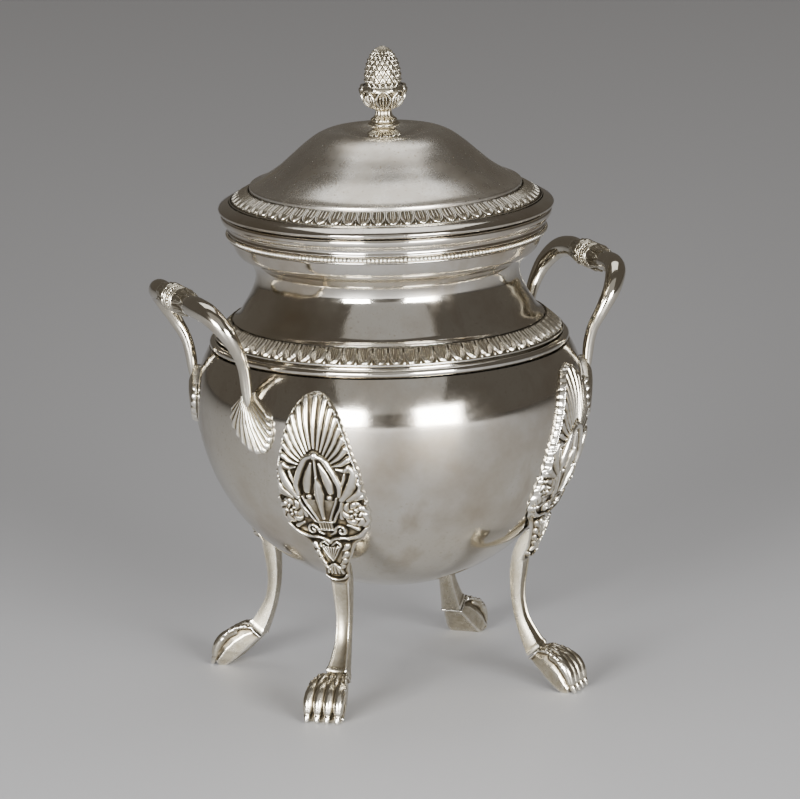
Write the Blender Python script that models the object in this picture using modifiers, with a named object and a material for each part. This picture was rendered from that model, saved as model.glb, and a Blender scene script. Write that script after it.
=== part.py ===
"""Covered sugar bowl in silver: a footed bulb with a flared neck, two loop handles, four paw legs and a lid.

Every piece that was raised, spun, cast or turned on its own is one object. The row frame has its origin on
the bowl's axis at table level, +Z up, the two handles on +X and -X, and the legs between the axes.
Lengths below are in millimetres and MM turns them into metres.
"""

import math

import bpy
from mathutils import Vector

MM = 0.001

# Driving dimensions
BULB_RADIUS = 58.2  # spherical part of the bulb, outside
BULB_CENTRE_Z = 88.0
BULB_WALL = 1.0
NECK_RADIUS = 39.3  # narrowest place, outside
NECK_WAIST_Z = 124.0
MOUTH_RADIUS = 43.8  # clear bore that takes the lid's collar
MOUTH_TOP_Z = 143.3
LID_RADIUS = 50.0
DOME_TOP_Z = 165.0
DOME_STEP_RADIUS = 40.5
TOTAL_HEIGHT = 192.4
STUD_BORE = 1.3  # hole through the finial's castings, the dome, the washer and the nut
GAP = 0.3  # clearance kept between touching pieces

LEG_AZIMUTHS = {"front_left": 225.0, "front_right": 315.0, "rear_right": 45.0, "rear_left": 135.0}
HANDLE_SIDES = {"left": 180.0, "right": 0.0}
ARM_SIDES = {"front": -1.0, "rear": 1.0}
GRIP_X = 66.6
GRIP_Z = 122.6
GRIP_HALF_LENGTH = 11.0

RING_STEPS = 32
FINIAL_STEPS = 16

SILVER = (0.80, 0.77, 0.71, 1.0)
CAST_SILVER = (0.74, 0.70, 0.60, 1.0)
STEEL = (0.55, 0.55, 0.55, 1.0)


def clear_scene():
    """Removes what the scene holds, so that the script starts from nothing."""
    for thing in list(bpy.data.objects):
        bpy.data.objects.remove(thing)


def metal(name, colour, roughness):
    """A Principled metal for one piece."""
    material = bpy.data.materials.new(name + "_metal")
    material.use_nodes = True
    shader = material.node_tree.nodes["Principled BSDF"]
    shader.inputs["Base Color"].default_value = colour
    shader.inputs["Metallic"].default_value = 1.0
    shader.inputs["Roughness"].default_value = roughness
    return material


def add_piece(name, data, colour=SILVER, roughness=0.18):
    """Puts a mesh or curve in the assembly's collection under its node name, with its own material."""
    piece = bpy.data.objects.new(name, data)
    ASSEMBLY.objects.link(piece)
    piece.data.materials.append(metal(name, colour, roughness))
    return piece


def turned(name, profile, closed, steps=RING_STEPS, colour=SILVER):
    """Turns a profile of (radius, height) about Z. It runs down its outer side; closed makes it a ring."""
    count = len(profile)
    edges = [(i, i + 1) for i in range(count - 1)]
    if closed:
        edges.append((count - 1, 0))
    mesh = bpy.data.meshes.new(name)
    mesh.from_pydata([(r * MM, 0.0, z * MM) for r, z in profile], edges, [])
    piece = add_piece(name, mesh, colour)
    screw = piece.modifiers.new("turn", "SCREW")
    screw.angle = math.tau
    screw.steps = steps
    screw.render_steps = steps
    screw.use_smooth_shade = True
    screw.use_merge_vertices = True
    screw.merge_threshold = 0.00001
    return piece


def wire_ring(name, radius, height, section_radius, sides, colour=SILVER):
    """A round wire bent to a ring about Z."""
    section = []
    for i in range(sides):
        turn = math.pi / 2 - math.tau * i / sides
        section.append((radius + section_radius * math.cos(turn), height + section_radius * math.sin(turn)))
    return turned(name, section, closed=True, colour=colour)


def ball_radius(z, radius=BULB_RADIUS):
    """Radius of the bulb's sphere at height z."""
    return math.sqrt(max(radius**2 - (z - BULB_CENTRE_Z) ** 2, 0.0))


def bulb_radius(z):
    """Outer radius of the bulb at height z: a sphere below its centre, flatter towards the shoulder."""
    if z <= BULB_CENTRE_Z:
        return ball_radius(z)
    rise = (z - BULB_CENTRE_Z) / 15.0
    return BULB_RADIUS - 4.45 * rise**1.9


def bulb_arc(radius, steps):
    """The bulb's lower half as (radius, height) points from the equator down to the pole."""
    points = []
    for i in range(steps + 1):
        turn = math.pi / 2 * i / steps
        points.append((radius * math.cos(turn), BULB_CENTRE_Z - radius * math.sin(turn)))
    points[-1] = (0.0, BULB_CENTRE_Z - radius)
    return points


def make_bulb():
    """The raised bulb. Its edge steps in under the shoulder wire and the leaf band."""
    shoulder = [(48.6, 107.8), (50.4, 105.9), (50.7, 103.7), (52.5, 102.9), (53.75, 103.0)]
    upper = [(bulb_radius(z), z) for z in (98.5, 94.0)]
    outer = shoulder + upper + bulb_arc(BULB_RADIUS, 9)
    inner = bulb_arc(BULB_RADIUS - BULB_WALL, 9)[::-1]
    inner += [(r - BULB_WALL, z) for r, z in upper[::-1]]
    inner += [(52.9, 101.9), (50.4, 102.4), (49.6, 105.3), (47.9, 107.1)]
    # The profile starts and ends on the axis: up the inner side, over the edge, down the outer side.
    return turned("body_bulb", inner + outer, closed=False)


def make_neck():
    """The spun neck. Its lower edge meets the bulb's edge under the leaf band."""
    outer = [
        (46.4, 135.6),
        (44.4, 131.4),
        (41.0, 128.9),
        (NECK_RADIUS + 0.2, 126.2),
        (NECK_RADIUS, NECK_WAIST_Z),
        (40.4, 120.2),
        (43.0, 115.4),
        (45.2, 112.2),
        (46.5, 111.25),
        (45.7, 110.3),
        (48.3, 108.1),
    ]
    inner = [
        (47.6, 107.4),
        (44.9, 109.8),
        (44.4, 111.6),
        (42.0, 115.0),
        (39.4, 119.9),
        (NECK_RADIUS - 1.0, NECK_WAIST_Z),
        (NECK_RADIUS - 0.8, 126.6),
        (40.2, 129.5),
        (43.5, 131.9),
        (45.4, 135.6),
    ]
    return turned("neck", outer + inner, closed=True)


def make_mouth():
    """The mouth moulding with its ridge, cavetto and bead groove, and the bead band in the groove."""
    moulding = [
        (48.7, MOUTH_TOP_Z),
        (49.3, 142.8),
        (49.2, 141.7),
        (48.6, 140.8),
        (47.5, 140.1),
        (47.1, 139.1),
        (47.6, 138.2),
        (46.3, 137.75),
        (46.3, 136.3),
        (47.3, 136.2),
        (47.3, 135.9),
        (MOUTH_RADIUS, 135.9),
        (MOUTH_RADIUS, MOUTH_TOP_Z),
    ]
    turned("mouth_moulding", moulding, closed=True)
    wire_ring("bead_band", 47.4, 137.0, 0.6, 6, CAST_SILVER)


def make_shoulder():
    """The die-rolled leaf band over the seam of bulb and neck, and the plain wire under it."""
    band = [(47.0, 110.9), (51.9, 106.7), (51.3, 106.0), (46.4, 110.2)]
    turned("shoulder_leaf_band", band, closed=True, colour=CAST_SILVER)
    wire_ring("shoulder_wire", 52.3, 104.5, 1.25, 6)


def make_lid():
    """The lid: a dished dome with its brim, the leaf band on the brim, the edge moulding and the seat collar."""
    dome = [
        (STUD_BORE, DOME_TOP_Z),
        (6.0, 165.1),
        (10.0, 166.2),
        (13.5, 167.2),
        (16.5, 167.2),
        (20.0, 165.9),
        (24.0, 163.1),
        (28.0, 159.6),
        (32.0, 156.1),
        (35.5, 153.7),
        (38.3, 152.1),
        (DOME_STEP_RADIUS, 151.3),
        (DOME_STEP_RADIUS, 150.2),
        (40.3, 149.5),
        (46.4, 146.0),
    ]
    underside = [
        (46.4, 145.0),
        (39.8, 148.7),
        (39.0, 150.6),
        (37.4, 151.4),
        (34.7, 153.0),
        (31.2, 155.2),
        (27.3, 158.7),
        (23.3, 162.2),
        (19.5, 164.9),
        (16.3, 166.2),
        (13.7, 166.2),
        (10.2, 165.2),
        (6.1, 164.1),
        (STUD_BORE, DOME_TOP_Z - 1.0),
    ]
    turned("lid_dome", dome + underside, closed=True)
    band = [(40.9, 150.15), (46.4, 147.0), (46.4, 146.4), (40.9, 149.55)]
    turned("lid_leaf_band", band, closed=True, colour=CAST_SILVER)
    seat_z = MOUTH_TOP_Z + GAP
    rim = [
        (46.7, 146.85),
        (48.3, 146.1),
        (49.5, 145.4),
        (LID_RADIUS, 144.7),
        (49.7, 143.9),
        (49.0, seat_z),
        (46.7, seat_z),
    ]
    turned("lid_rim_moulding", rim, closed=True)
    collar_radius = MOUTH_RADIUS - 0.5
    collar = [
        (46.3, seat_z + 0.9),
        (46.3, seat_z),
        (collar_radius, seat_z),
        (collar_radius, 137.8),
        (collar_radius - 0.9, 137.8),
        (collar_radius - 0.9, seat_z + 0.9),
    ]
    turned("lid_bezel", collar, closed=True)


def make_finial():
    """The finial's castings on one stud, held by a washer and a nut under the dome."""
    rosette = [
        (3.2, 168.0),
        (3.4, 167.2),
        (4.2, 166.4),
        (5.1, 165.8),
        (5.1, 165.4),
        (STUD_BORE, 165.4),
        (STUD_BORE, 168.0),
    ]
    stem = [
        (2.9, 174.0),
        (2.3, 173.3),
        (2.2, 172.2),
        (2.5, 171.0),
        (3.8, 170.0),
        (4.7, 169.2),
        (4.5, 168.4),
        (STUD_BORE, 168.3),
        (STUD_BORE, 174.0),
    ]
    calyx = [
        (0.0, 180.6),
        (5.6, 180.6),
        (6.9, 180.0),
        (6.6, 178.2),
        (5.9, 176.4),
        (4.6, 175.0),
        (3.3, 174.3),
        (STUD_BORE, 174.3),
        (STUD_BORE, 178.0),
        (0.0, 178.0),
    ]
    cone = [
        (0.0, TOTAL_HEIGHT),
        (1.6, 191.9),
        (3.0, 190.5),
        (4.3, 188.0),
        (5.1, 185.4),
        (5.45, 182.8),
        (5.0, 180.9),
        (0.0, 180.9),
    ]
    turned("finial_rosette", rosette, True, FINIAL_STEPS, CAST_SILVER)
    turned("finial_stem", stem, True, FINIAL_STEPS, CAST_SILVER)
    turned("finial_calyx", calyx, False, FINIAL_STEPS, CAST_SILVER)
    turned("finial_pinecone", cone, False, FINIAL_STEPS, CAST_SILVER)
    stud = [(0.0, 177.6), (1.0, 177.6), (1.0, 159.6), (0.0, 159.6)]
    washer = [(3.6, 163.7), (3.6, 163.1), (STUD_BORE, 163.1), (STUD_BORE, 163.7)]
    nut = [(2.6, 162.8), (2.6, 160.9), (STUD_BORE, 160.9), (STUD_BORE, 162.8)]
    turned("finial_stud", stud, False, 12, STEEL)
    turned("finial_washer", washer, True, FINIAL_STEPS, STEEL)
    turned("finial_nut", nut, True, 6, STEEL)


def loft(sections):
    """A closed mesh through sections that have the same number of points, with flat ends."""
    mesh = bpy.data.meshes.new("loft")
    count = len(sections[0])
    points = [Vector(p) * MM for section in sections for p in section]
    faces = []
    for s in range(len(sections) - 1):
        for i in range(count):
            j = (i + 1) % count
            low = s * count
            high = low + count
            faces.append((low + i, low + j, high + j, high + i))
    faces.append(tuple(range(count))[::-1])
    faces.append(tuple(range(len(points) - count, len(points))))
    mesh.from_pydata(points, [], faces)
    mesh.update()
    return mesh


def leg_section(inner, outer, half_width, chamfer=0.25):
    """A chamfered rectangle across the leg, from its inner (radius, height) point to its outer one."""
    (ri, zi), (ro, zo) = inner, outer
    corners = [
        (chamfer, -1.0),
        (1.0 - chamfer, -1.0),
        (1.0, -1.0 + chamfer),
        (1.0, 1.0 - chamfer),
        (1.0 - chamfer, 1.0),
        (chamfer, 1.0),
        (0.0, 1.0 - chamfer),
        (0.0, -1.0 + chamfer),
    ]
    return [(ri + (ro - ri) * a, half_width * b, zi + (zo - zi) * a) for a, b in corners]


SHANK_SECTIONS = [
    ((43.5, 48.7), (46.4, 49.6), 2.8),
    ((40.7, 45.2), (44.6, 45.2), 2.8),
    ((39.1, 41.5), (42.6, 41.3), 2.8),
    ((38.3, 37.6), (41.9, 37.0), 2.65),
    ((38.0, 31.5), (41.0, 31.0), 2.3),
    ((38.3, 26.1), (40.9, 26.5), 2.1),
    ((39.3, 20.8), (41.9, 21.6), 2.1),
    ((41.1, 15.2), (44.3, 17.0), 2.5),
    ((43.4, 9.9), (47.0, 12.9), 3.1),
]

PAW_SECTIONS = [
    ((43.7, 9.4), (47.3, 12.4), 3.2),
    ((45.6, 7.0), (50.9, 12.6), 4.2),
    ((48.8, 4.2), (54.4, 11.3), 5.2),
    ((52.0, 1.4), (57.2, 8.9), 6.0),
    ((54.6, 0.0), (58.8, 5.8), 6.5),
    ((57.6, 0.0), (59.6, 3.4), 6.6),
]
PAW_CHAMFER = 0.22
SOLE_CORNERS = (0, 5)  # the points of a section that come down to the table with its inner edge


def make_paw_mesh():
    """The paw, with a flat sole at table level under its front half."""
    sections = []
    for inner, outer, half_width in PAW_SECTIONS:
        section = leg_section(inner, outer, half_width, PAW_CHAMFER)
        if inner[1] == 0.0:
            for i in SOLE_CORNERS:
                r, lateral, _ = section[i]
                section[i] = (r, lateral, 0.0)
        sections.append(section)
    return loft(sections[::-1])


def piecewise(table, x):
    """Straight-line value at x of a table of (x, value) rows, x falling or rising."""
    rows = sorted(table)
    if x <= rows[0][0]:
        return rows[0][1]
    for (x0, v0), (x1, v1) in zip(rows, rows[1:]):
        if x <= x1:
            return v0 + (v1 - v0) * (x - x0) / (x1 - x0)
    return rows[-1][1]


PLAQUE_HALF_WIDTHS = [
    (99.4, 1.2),
    (96.5, 5.0),
    (89.0, 9.0),
    (81.0, 11.5),
    (73.0, 13.3),
    (66.5, 13.9),
    (60.0, 13.2),
    (54.5, 10.4),
    (51.0, 7.0),
    (45.5, 4.2),
    (41.0, 3.4),
    (38.4, 1.6),
]
SHANK_FRONT = [(58.0, 0.0), (53.0, 0.7), (50.0, 2.5), (45.5, 5.6), (41.0, 8.9), (38.4, 11.9)]


def plate(mesh_name, heights, columns, back, front):
    """A plate with a back and a front surface, each given as a function of height and of u from -1 to 1."""
    us = [-1.0 + 2.0 * i / (columns - 1) for i in range(columns)]
    points = [back(z, u) for z in heights for u in us]
    points += [front(z, u) for z in heights for u in us]
    rows = len(heights)
    half = rows * columns
    faces = []
    for r in range(rows - 1):
        for c in range(columns - 1):
            a = r * columns + c
            b = a + columns
            faces.append((a, a + 1, b + 1, b))
            faces.append((half + a, half + b, half + b + 1, half + a + 1))
    for r in range(rows - 1):
        for edge, flip in ((0, True), (columns - 1, False)):
            a = r * columns + edge
            b = a + columns
            side = (a, half + a, half + b, b)
            faces.append(side[::-1] if flip else side)
    for c in range(columns - 1):
        for start, flip in ((0, False), ((rows - 1) * columns, True)):
            a = start + c
            end = (a, half + a, half + a + 1, a + 1)
            faces.append(end[::-1] if flip else end)
    mesh = bpy.data.meshes.new(mesh_name)
    mesh.from_pydata([Vector(p) * MM for p in points], [], faces)
    mesh.update()
    return mesh


def around(radius, lateral, z, azimuth=0.0):
    """A point at a radius from the axis, moved sideways by an arc length, at height z."""
    turn = math.radians(azimuth) + lateral / radius
    return (radius * math.cos(turn), radius * math.sin(turn), z)


def make_plaque_mesh():
    """The relief plaque at the head of a leg: it lies on the bulb and its tail lies on the leg's shank."""

    def back(z, u):
        half = piecewise(PLAQUE_HALF_WIDTHS, z)
        lift = piecewise(SHANK_FRONT, z) * (1.0 - 0.5 * u**4 * min(1.0, max(0.0, (z - 46.0) / 5.0)))
        radius = bulb_radius(z) + GAP + lift
        return around(radius, half * u, z)

    def front(z, u):
        thickness = 1.2 + 1.0 * (1.0 - u * u) * min(1.0, (z - 37.0) / 16.0)
        x, y, height = back(z, u)
        lean = max(-0.75, min(0.25, (z - BULB_CENTRE_Z) / BULB_RADIUS))
        out = thickness * math.sqrt(1.0 - lean**2)
        scale = (math.hypot(x, y) + out) / math.hypot(x, y)
        return (x * scale, y * scale, height + thickness * lean * 0.6)

    heights = [99.4, 96.5, 92.5, 87.0, 81.0, 74.0, 66.5, 60.0, 54.5, 51.0, 45.5, 41.0, 38.4]
    return plate("leg_plaque", heights, 7, back, front)


def make_legs():
    """Four equal legs, each a relief plaque, a squared shank and a lion's paw."""
    plaque = make_plaque_mesh()
    shank = loft([leg_section(*row) for row in SHANK_SECTIONS][::-1])
    paw = make_paw_mesh()
    for place, azimuth in LEG_AZIMUTHS.items():
        for kind, mesh in (("leg_plaque_", plaque), ("leg_shank_", shank), ("leg_paw_", paw)):
            piece = add_piece(kind + place, mesh.copy(), CAST_SILVER, 0.28)
            piece.rotation_euler = (0.0, 0.0, math.radians(azimuth))


FAN_CENTRES = [(96.0, 22.3), (88.0, 23.2), (79.6, 25.4)]
FAN_HALF_WIDTHS = [(96.0, 2.4), (94.0, 4.2), (91.5, 6.3), (87.5, 8.0), (84.0, 7.2), (81.0, 4.6), (79.6, 2.0)]
FAN_THICKNESS = [(96.0, 3.4), (94.0, 2.8), (91.5, 2.2), (87.5, 1.7), (79.6, 1.2)]


def make_fan_mesh(side):
    """The fluted fan at the foot of a handle arm. side is -1 or +1, the way it lies from the handle's axis."""

    def surface(z, u, lift):
        half = piecewise(FAN_HALF_WIDTHS, z)
        radius = bulb_radius(z) + GAP + lift
        return around(radius, half * u, z, side * piecewise(FAN_CENTRES, z))

    def back(z, u):
        return surface(z, u, 0.0)

    def front(z, u):
        return surface(z, u * 0.9, piecewise(FAN_THICKNESS, z) * (1.0 - 0.35 * u * u))

    heights = [z for z, _ in FAN_HALF_WIDTHS]
    return plate("handle_fan", heights, 5, back, front)


ARM_ROUTE = [
    (54.35, 22.4, 96.4),
    (55.0, 22.6, 101.0),
    (55.9, 23.4, 105.5),
    (58.4, 24.9, 111.0),
    (61.9, 24.6, 117.0),
    (65.0, 20.6, 121.4),
    (66.4, 15.4, 122.6),
    (66.6, 11.3, 122.6),
]
ARM_RADII = [1.7, 1.7, 1.75, 2.1, 2.8, 3.4, 3.6, 3.4]


def smooth_route(points, cuts):
    """Points on a smooth curve through a route, with cuts new ones on each stretch, as (place, share along)."""
    ends = [Vector(points[0]) * 2 - Vector(points[1])]
    ends += [Vector(p) for p in points]
    ends.append(Vector(points[-1]) * 2 - Vector(points[-2]))
    route = []
    for i in range(1, len(ends) - 2):
        a, b, c, d = ends[i - 1 : i + 3]
        for k in range(cuts):
            t = k / cuts
            place = (
                b * 2 + (c - a) * t + (a * 2 - b * 5 + c * 4 - d) * t * t + (b * 3 - a - c * 3 + d) * t**3
            ) * 0.5
            route.append((place, i - 1 + t))
    route.append((ends[-2], len(points) - 1.0))
    return route


def make_arm(name, side, turn):
    """One arm of a loop handle, from its fan up to the grip."""
    curve = bpy.data.curves.new(name, "CURVE")
    curve.dimensions = "3D"
    curve.bevel_depth = MM
    curve.bevel_resolution = 2
    curve.use_fill_caps = True
    route = smooth_route(ARM_ROUTE, 2)
    spline = curve.splines.new("POLY")
    spline.points.add(len(route) - 1)
    radii = list(enumerate(ARM_RADII))
    for point, (place, share) in zip(spline.points, route):
        point.co = (place.x * MM, place.y * side * MM, place.z * MM, 1.0)
        point.radius = piecewise(radii, share)
    arm = add_piece(name, curve, CAST_SILVER, 0.2)
    arm.rotation_euler = (0.0, 0.0, math.radians(turn))


GRIP_PROFILE = [
    (0.0, 1.0),
    (2.8, 1.0),
    (3.5, 0.62),
    (3.1, 0.3),
    (3.4, 0.16),
    (4.2, 0.1),
    (4.2, -0.1),
    (3.4, -0.16),
    (3.1, -0.3),
    (3.5, -0.62),
    (2.8, -1.0),
    (0.0, -1.0),
]


def make_handles():
    """Two loop handles: two arms on their fans, joined by a foliate grip with a ring round its middle."""
    for name, turn in HANDLE_SIDES.items():
        for place, side in ARM_SIDES.items():
            lateral = side if turn == 0.0 else -side
            fan = add_piece(f"handle_fan_{name}_{place}", make_fan_mesh(lateral), CAST_SILVER, 0.25)
            fan.rotation_euler = (0.0, 0.0, math.radians(turn))
            make_arm(f"handle_arm_{name}_{place}", lateral, turn)
        profile = [(r, share * GRIP_HALF_LENGTH) for r, share in GRIP_PROFILE]
        grip = turned(f"handle_grip_{name}", profile, False, 12, CAST_SILVER)
        middle = Vector((GRIP_X * MM * math.cos(math.radians(turn)), 0.0, GRIP_Z * MM))
        grip.location = middle
        grip.rotation_euler = (math.pi / 2, 0.0, 0.0)


clear_scene()
ASSEMBLY = bpy.data.collections.new("sugar_bowl")
bpy.context.scene.collection.children.link(ASSEMBLY)
make_bulb()
make_neck()
make_mouth()
make_shoulder()
make_legs()
make_handles()
make_lid()
make_finial()
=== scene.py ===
"""Silver sugar bowl: the fine surfaces and the finishes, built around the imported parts.

Lengths are in millimetres until a mesh is made, and MM turns them into metres.
Profiles of turned parts are lists of (radius, height).
"""

import math

import bmesh
import bpy
import numpy as np
from mathutils import Matrix


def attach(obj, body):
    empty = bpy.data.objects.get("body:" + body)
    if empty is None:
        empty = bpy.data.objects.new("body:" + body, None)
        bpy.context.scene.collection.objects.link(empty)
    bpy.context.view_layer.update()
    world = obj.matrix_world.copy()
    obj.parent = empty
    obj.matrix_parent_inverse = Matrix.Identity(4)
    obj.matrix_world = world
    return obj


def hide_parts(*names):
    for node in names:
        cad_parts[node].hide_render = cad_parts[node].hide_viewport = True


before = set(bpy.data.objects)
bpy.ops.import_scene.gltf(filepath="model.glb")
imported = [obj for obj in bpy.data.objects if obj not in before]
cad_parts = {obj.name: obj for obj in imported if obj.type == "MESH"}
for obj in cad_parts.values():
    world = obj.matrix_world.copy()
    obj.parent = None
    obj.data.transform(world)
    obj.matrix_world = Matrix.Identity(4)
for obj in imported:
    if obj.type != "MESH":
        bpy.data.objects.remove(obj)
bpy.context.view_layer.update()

MM = 0.001
TURN = 2 * math.pi
SEGMENTS = 256          # columns around a turned part
AXIS_HEIGHT = 100.0     # the height that the camera is aimed around


# ---------------------------------------------------------------- curves and profiles

def smooth_curve(points, per_span=8):
    """Points along a smooth curve that passes through the given ones."""
    p = np.array(points, float)
    chord = np.diff(p, axis=0)
    length = np.linalg.norm(chord, axis=1)[:, None]
    slope = chord / length
    middle = (slope[:-1] * length[1:] + slope[1:] * length[:-1]) / (length[1:] + length[:-1])
    tangent = np.vstack([slope[:1], middle, slope[-1:]])
    t = np.linspace(0, 1, per_span, endpoint=False)[:, None]
    spans = []
    for i, size in enumerate(length):
        spans.append(
            (2 * t**3 - 3 * t**2 + 1) * p[i]
            + (t**3 - 2 * t**2 + t) * tangent[i] * size
            + (3 * t**2 - 2 * t**3) * p[i + 1]
            + (t**3 - t**2) * tangent[i + 1] * size
        )
    return np.vstack(spans + [p[-1:]])


def softened(points, radius, closed=True, steps=3):
    """The outline with its sharp corners rounded off."""
    p = np.array(points, float)
    count = len(p)
    result = []
    for i in range(count):
        here = p[i]
        if not closed and i in (0, count - 1):
            result.append(here)
            continue
        to_last = p[i - 1] - here
        to_next = p[(i + 1) % count] - here
        last_size = np.linalg.norm(to_last)
        next_size = np.linalg.norm(to_next)
        cosine = np.dot(to_last, to_next) / (last_size * next_size)
        if cosine < -0.9:
            result.append(here)
            continue
        cut = min(radius, 0.45 * last_size, 0.45 * next_size)
        start = here + to_last / last_size * cut
        end = here + to_next / next_size * cut
        for t in np.linspace(0, 1, steps + 1):
            result.append((1 - t)**2 * start + 2 * t * (1 - t) * here + t**2 * end)
    return np.array(result)


def resampled(points, count):
    """The same curve with evenly spaced points."""
    p = np.array(points, float)
    along = np.concatenate([[0], np.cumsum(np.linalg.norm(np.diff(p, axis=0), axis=1))])
    places = np.linspace(0, along[-1], count)
    return np.stack([np.interp(places, along, p[:, k]) for k in range(p.shape[1])], axis=1)


def smooth_step(value, low, high):
    t = np.clip((value - low) / (high - low), 0, 1)
    return t * t * (3 - 2 * t)


# ---------------------------------------------------------------- meshes

def grid_faces(rows, columns, loop_rows, loop_columns):
    index = np.arange(rows * columns).reshape(rows, columns)
    if loop_rows:
        index = np.vstack([index, index[:1]])
    if loop_columns:
        index = np.hstack([index, index[:, :1]])
    corners = [index[:-1, :-1], index[:-1, 1:], index[1:, 1:], index[1:, :-1]]
    return np.stack(corners, axis=-1).reshape(-1, 4)


def faces_outward(points, faces):
    """The faces, turned over if the closed surface would be inside out."""
    a, b, c, d = (points[faces[:, k]] for k in range(4))
    volume = np.einsum("ij,ij->", np.cross(c - a, d - b), a + b + c + d)
    return faces[:, ::-1] if volume < 0 else faces


def mesh_of(name, points, faces, sharp_angle=40):
    """A smooth-shaded closed mesh from an array of points and one of four-cornered faces."""
    faces = faces_outward(points, faces)
    mesh = bpy.data.meshes.new(name)
    mesh.vertices.add(len(points))
    mesh.vertices.foreach_set("co", (points * MM).ravel())
    mesh.loops.add(faces.size)
    mesh.loops.foreach_set("vertex_index", faces.ravel().astype(np.int32))
    mesh.polygons.add(len(faces))
    mesh.polygons.foreach_set("loop_start", np.arange(0, faces.size, 4, dtype=np.int32))
    mesh.update(calc_edges=True)
    weld(mesh)
    mesh.shade_smooth()
    mesh.set_sharp_from_angle(angle=math.radians(sharp_angle))
    return mesh


def weld(mesh, distance=1e-7):
    """Joins points that lie together, such as those at a pole."""
    shell = bmesh.new()
    shell.from_mesh(mesh)
    bmesh.ops.remove_doubles(shell, verts=shell.verts, dist=distance)
    shell.to_mesh(mesh)
    shell.free()


def grid_mesh(name, points, loop_rows=True, loop_columns=True, sharp_angle=40):
    rows, columns = points.shape[:2]
    faces = grid_faces(rows, columns, loop_rows, loop_columns)
    return mesh_of(name, points.reshape(-1, 3), faces, sharp_angle)


def turned_points(profile, segments):
    """The points of a profile turned about the vertical axis: rows by columns by xyz."""
    angle = np.arange(segments) * TURN / segments
    profile = np.array(profile)
    radius = profile[:, 0, None]
    height = profile[:, 1, None] * np.ones(segments)
    return np.stack([radius * np.cos(angle), radius * np.sin(angle), height], axis=-1)


def turned_mesh(name, profile, closed=True):
    return grid_mesh(name, turned_points(profile, SEGMENTS), loop_rows=closed)


def plate_mesh(name, front, back, sharp_angle=60):
    """A thin closed plate: a front grid, a back grid and a strip of faces around the edge."""
    rows, columns = front.shape[:2]
    size = rows * columns
    index = np.arange(size).reshape(rows, columns)
    rim = np.concatenate([index[0], index[1:, -1], index[-1, -2::-1], index[-2:0:-1, 0]])
    following = np.roll(rim, -1)
    edge = np.stack([following, rim, rim + size, following + size], axis=1)
    face = grid_faces(rows, columns, False, False)
    faces = np.vstack([face, face[:, ::-1] + size, edge])
    points = np.concatenate([front.reshape(-1, 3), back.reshape(-1, 3)])
    return mesh_of(name, points, faces, sharp_angle)


def read_rows(items, key, width, kind=float):
    """One row of numbers for each vertex or edge."""
    values = np.empty(len(items) * width, dtype=kind)
    items.foreach_get(key, values)
    return values.reshape(-1, width)


def with_relief(mesh, near, near_gain, wide=0, wide_gain=0.0):
    """The mesh, with how far each point stands out from its smoothed surroundings, 0.5 being level.

    near and wide count the smoothing passes: few passes find grooves, many find sunk grounds.
    """
    count = len(mesh.vertices)
    points = read_rows(mesh.vertices, "co", 3) / MM
    normals = read_rows(mesh.vertices, "normal", 3)
    first, second = read_rows(mesh.edges, "vertices", 2, np.int32).T
    neighbours = np.bincount(first, minlength=count) + np.bincount(second, minlength=count)
    level = points.copy()
    relief = np.full(count, 0.5)
    for step in range(1, max(near, wide) + 1):
        for k in range(3):
            total = np.bincount(first, level[second, k], count)
            total += np.bincount(second, level[first, k], count)
            level[:, k] = 0.5 * level[:, k] + 0.5 * total / neighbours
        if step in (near, wide):
            gain = near_gain if step == near else wide_gain
            relief += gain * np.einsum("ij,ij->i", points - level, normals)
    layer = mesh.attributes.new("relief", "FLOAT", "POINT")
    layer.data.foreach_set("value", np.clip(relief, 0, 1).astype(np.float32))
    return mesh


def add_piece(name, mesh, node, body, material, turn=0.0):
    """Shows a mesh, turned about the vertical axis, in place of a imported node."""
    piece = bpy.data.objects.new(name, mesh)
    piece.rotation_euler = (0.0, 0.0, math.radians(turn))
    bpy.context.scene.collection.objects.link(piece)
    if not mesh.materials:
        mesh.materials.append(material)
    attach(piece, body)
    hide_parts(node)


def chased_points(profile, columns, height):
    """A turned profile whose surface stands out by height, a number or one for each point."""
    profile = np.array(profile, float)
    tangent = np.gradient(profile, axis=0)
    tangent /= np.maximum(np.linalg.norm(tangent, axis=1)[:, None], 1e-9)
    height = height * np.ones((len(profile), columns))
    angle = np.arange(columns) * TURN / columns
    radius = profile[:, 0, None] + tangent[:, 1, None] * height
    radius = np.where(profile[:, 0, None] < 1e-6, 0.0, np.maximum(radius, 0.0))
    level = profile[:, 1, None] - tangent[:, 0, None] * height
    return np.stack([radius * np.cos(angle), radius * np.sin(angle), level], axis=-1)


def chased_mesh(name, side, rows, columns, ends, height_of):
    """A solid casting with a chased surface: its side turned about the axis and closed at both ends.

    ends are the heights of the closing points. height_of(share, rise, radius, level) gives how far
    the surface stands out: share runs once round the casting, rise up its side, both from 0 to 1.
    """
    side = resampled(side, rows)
    profile = np.vstack([[[0.0, ends[0]]], side, [[0.0, ends[1]]]])
    share = np.arange(columns) / columns
    rise = np.linspace(0, 1, len(profile))[:, None]
    height = height_of(share, rise, profile[:, 0, None], profile[:, 1, None])
    return grid_mesh(name, chased_points(profile, columns, height), loop_rows=False, sharp_angle=75)


# ---------------------------------------------------------------- materials

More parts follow.
